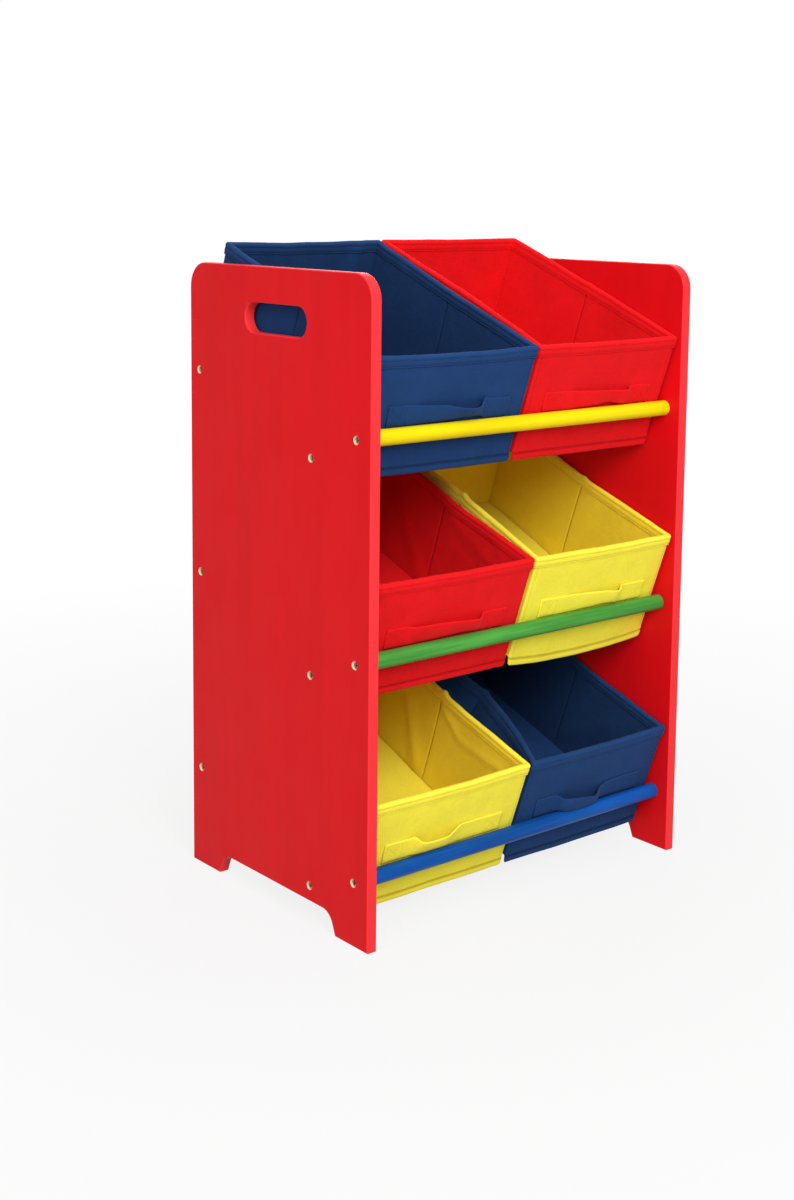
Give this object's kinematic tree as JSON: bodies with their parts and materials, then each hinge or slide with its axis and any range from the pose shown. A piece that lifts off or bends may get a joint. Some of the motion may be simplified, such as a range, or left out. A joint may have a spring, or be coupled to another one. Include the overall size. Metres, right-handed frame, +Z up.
{
  "type": "tiered storage unit",
  "caption": "Free-standing toy rack with two side panels, round rails and tilted fabric bins that lift out of sloping tiers.",
  "frame": {"origin": "on the floor at the middle of the rack's width and depth", "axes": "+X towards the rack's right as seen from the front, +Y towards its rear, +Z up; the bins lean towards -Y"},
  "size_m": [0.43, 0.3006, 0.6535],
  "materials": {
    "red_paint": "semi-gloss red paint on MDF",
    "yellow_paint": "semi-gloss yellow paint on a dowel",
    "green_paint": "semi-gloss green paint on a dowel",
    "blue_paint": "semi-gloss blue paint on a dowel",
    "plain_wood": "clear-coated pine dowel",
    "screw_steel": "nickel-plated, brushed",
    "cardboard": "grey-brown pressed cardboard",
    "navy_fabric": "matt non-woven fabric",
    "navy_binding": "matt non-woven fabric tape with a row of stitches",
    "red_fabric": "matt non-woven fabric",
    "red_binding": "matt non-woven fabric tape with a row of stitches",
    "yellow_fabric": "matt non-woven fabric",
    "yellow_binding": "matt non-woven fabric tape with a row of stitches"
  },
  "bodies": {
    "frame": {"side_panel_left": "red_paint", "side_panel_right": "red_paint", "front_rail_bottom": "blue_paint", "front_rail_middle": "green_paint", "front_rail_top": "yellow_paint", "support_rail_bottom": "plain_wood", "support_rail_middle": "plain_wood", "support_rail_top": "plain_wood", "rear_rail_bottom": "plain_wood", "rear_rail_middle": "plain_wood", "rear_rail_top": "plain_wood", "front_rail_screws_left": "screw_steel", "support_rail_screws_left": "screw_steel", "rear_rail_screws_left": "screw_steel", "front_rail_screws_right": "screw_steel", "support_rail_screws_right": "screw_steel", "rear_rail_screws_right": "screw_steel"},
    "bin_bottom_left": {"bin_cover_bottom_left": "yellow_fabric", "end_boards_bottom_left": "cardboard", "side_boards_bottom_left": "cardboard", "base_board_bottom_left": "yellow_fabric", "rim_binding_bottom_left": "yellow_binding", "handle_strap_bottom_left": "yellow_binding"},
    "bin_bottom_right": {"bin_cover_bottom_right": "navy_fabric", "end_boards_bottom_right": "cardboard", "side_boards_bottom_right": "cardboard", "base_board_bottom_right": "navy_fabric", "rim_binding_bottom_right": "navy_binding", "handle_strap_bottom_right": "navy_binding"},
    "bin_middle_left": {"bin_cover_middle_left": "red_fabric", "end_boards_middle_left": "cardboard", "side_boards_middle_left": "cardboard", "base_board_middle_left": "red_fabric", "rim_binding_middle_left": "red_binding", "handle_strap_middle_left": "red_binding"},
    "bin_middle_right": {"bin_cover_middle_right": "yellow_fabric", "end_boards_middle_right": "cardboard", "side_boards_middle_right": "cardboard", "base_board_middle_right": "yellow_fabric", "rim_binding_middle_right": "yellow_binding", "handle_strap_middle_right": "yellow_binding"},
    "bin_top_left": {"bin_cover_top_left": "navy_fabric", "end_boards_top_left": "cardboard", "side_boards_top_left": "cardboard", "base_board_top_left": "navy_fabric", "rim_binding_top_left": "navy_binding", "handle_strap_top_left": "navy_binding"},
    "bin_top_right": {"bin_cover_top_right": "red_fabric", "end_boards_top_right": "cardboard", "side_boards_top_right": "cardboard", "base_board_top_right": "red_fabric", "rim_binding_top_right": "red_binding", "handle_strap_top_right": "red_binding"}
  },
  "joints": [
    {"name": "lift_bottom_left", "type": "slide", "parent": "frame", "child": "bin_bottom_left", "axis": [0, -0.3338, 0.9426], "range_m": [0, 0.064]},
    {"name": "lift_bottom_right", "type": "slide", "parent": "frame", "child": "bin_bottom_right", "axis": [0, -0.3338, 0.9426], "range_m": [0, 0.064]},
    {"name": "lift_middle_left", "type": "slide", "parent": "frame", "child": "bin_middle_left", "axis": [0, -0.3338, 0.9426], "range_m": [0, 0.064]},
    {"name": "lift_middle_right", "type": "slide", "parent": "frame", "child": "bin_middle_right", "axis": [0, -0.3338, 0.9426], "range_m": [0, 0.064]},
    {"name": "lift_top_left", "type": "slide", "parent": "frame", "child": "bin_top_left", "axis": [0, -0.3338, 0.9426], "range_m": [0, 0.21]},
    {"name": "lift_top_right", "type": "slide", "parent": "frame", "child": "bin_top_right", "axis": [0, -0.3338, 0.9426], "range_m": [0, 0.21]}
  ]
}
